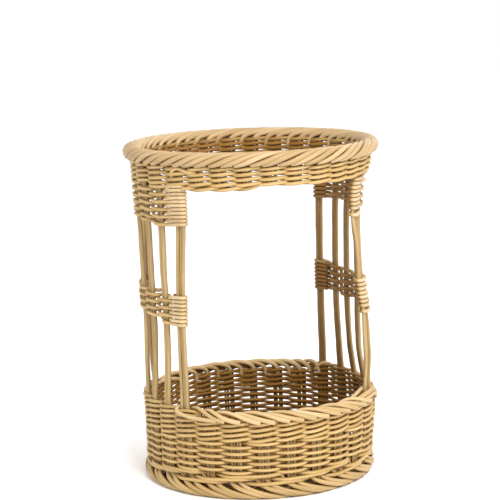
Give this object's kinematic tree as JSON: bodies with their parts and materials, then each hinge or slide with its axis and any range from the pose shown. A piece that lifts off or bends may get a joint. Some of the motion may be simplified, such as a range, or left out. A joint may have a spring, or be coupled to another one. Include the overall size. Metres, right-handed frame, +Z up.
{
  "type": "bread basket",
  "caption": "Tall round basket of woven cane for standing long loaves: solid woven foot, a window front and back between panels of upright canes, a woven band and a rolled rim.",
  "frame": {"origin": "on the floor under the middle of the round foot", "axes": "+Z up along the basket's round axis; -Y faces the front window, +Y the back window, -X and +X the two panels of uprights"},
  "size_m": [0.28, 0.28, 0.37],
  "materials": {
    "border_cane": "satin",
    "weaver_cane": "satin",
    "stake_cane": "satin",
    "wrap_cane": "satin"
  },
  "bodies": {
    "root": {"back_band_stakes": "stake_cane", "back_sill_border": "border_cane", "back_window_stakes": "stake_cane", "base_sticks_crosswise": "stake_cane", "base_sticks_lengthwise": "stake_cane", "base_weave": "weaver_cane", "bottom_wale": "weaver_cane", "cross_binding": "weaver_cane", "foot_border": "border_cane", "front_band_stakes": "stake_cane", "front_sill_border": "border_cane", "front_window_stakes": "stake_cane", "left_mid_weave": "weaver_cane", "left_mid_wrap_back": "wrap_cane", "left_mid_wrap_front": "wrap_cane", "left_panel_foot_weave": "weaver_cane", "left_shoulder_weave": "weaver_cane", "left_shoulder_wrap_back": "wrap_cane", "left_shoulder_wrap_front": "wrap_cane", "left_upright_pair_1": "stake_cane", "left_upright_pair_2": "stake_cane", "left_upright_pair_3": "stake_cane", "left_upright_pair_4": "stake_cane", "left_upright_pair_5": "stake_cane", "left_upright_pair_6": "stake_cane", "lower_wall_weave": "weaver_cane", "right_mid_weave": "weaver_cane", "right_mid_wrap_back": "wrap_cane", "right_mid_wrap_front": "wrap_cane", "right_panel_foot_weave": "weaver_cane", "right_shoulder_weave": "weaver_cane", "right_shoulder_wrap_back": "wrap_cane", "right_shoulder_wrap_front": "wrap_cane", "right_upright_pair_1": "stake_cane", "right_upright_pair_2": "stake_cane", "right_upright_pair_3": "stake_cane", "right_upright_pair_4": "stake_cane", "right_upright_pair_5": "stake_cane", "right_upright_pair_6": "stake_cane", "rim_border": "border_cane", "top_wale": "weaver_cane", "upper_band_weave": "weaver_cane"}
  },
  "joints": []
}
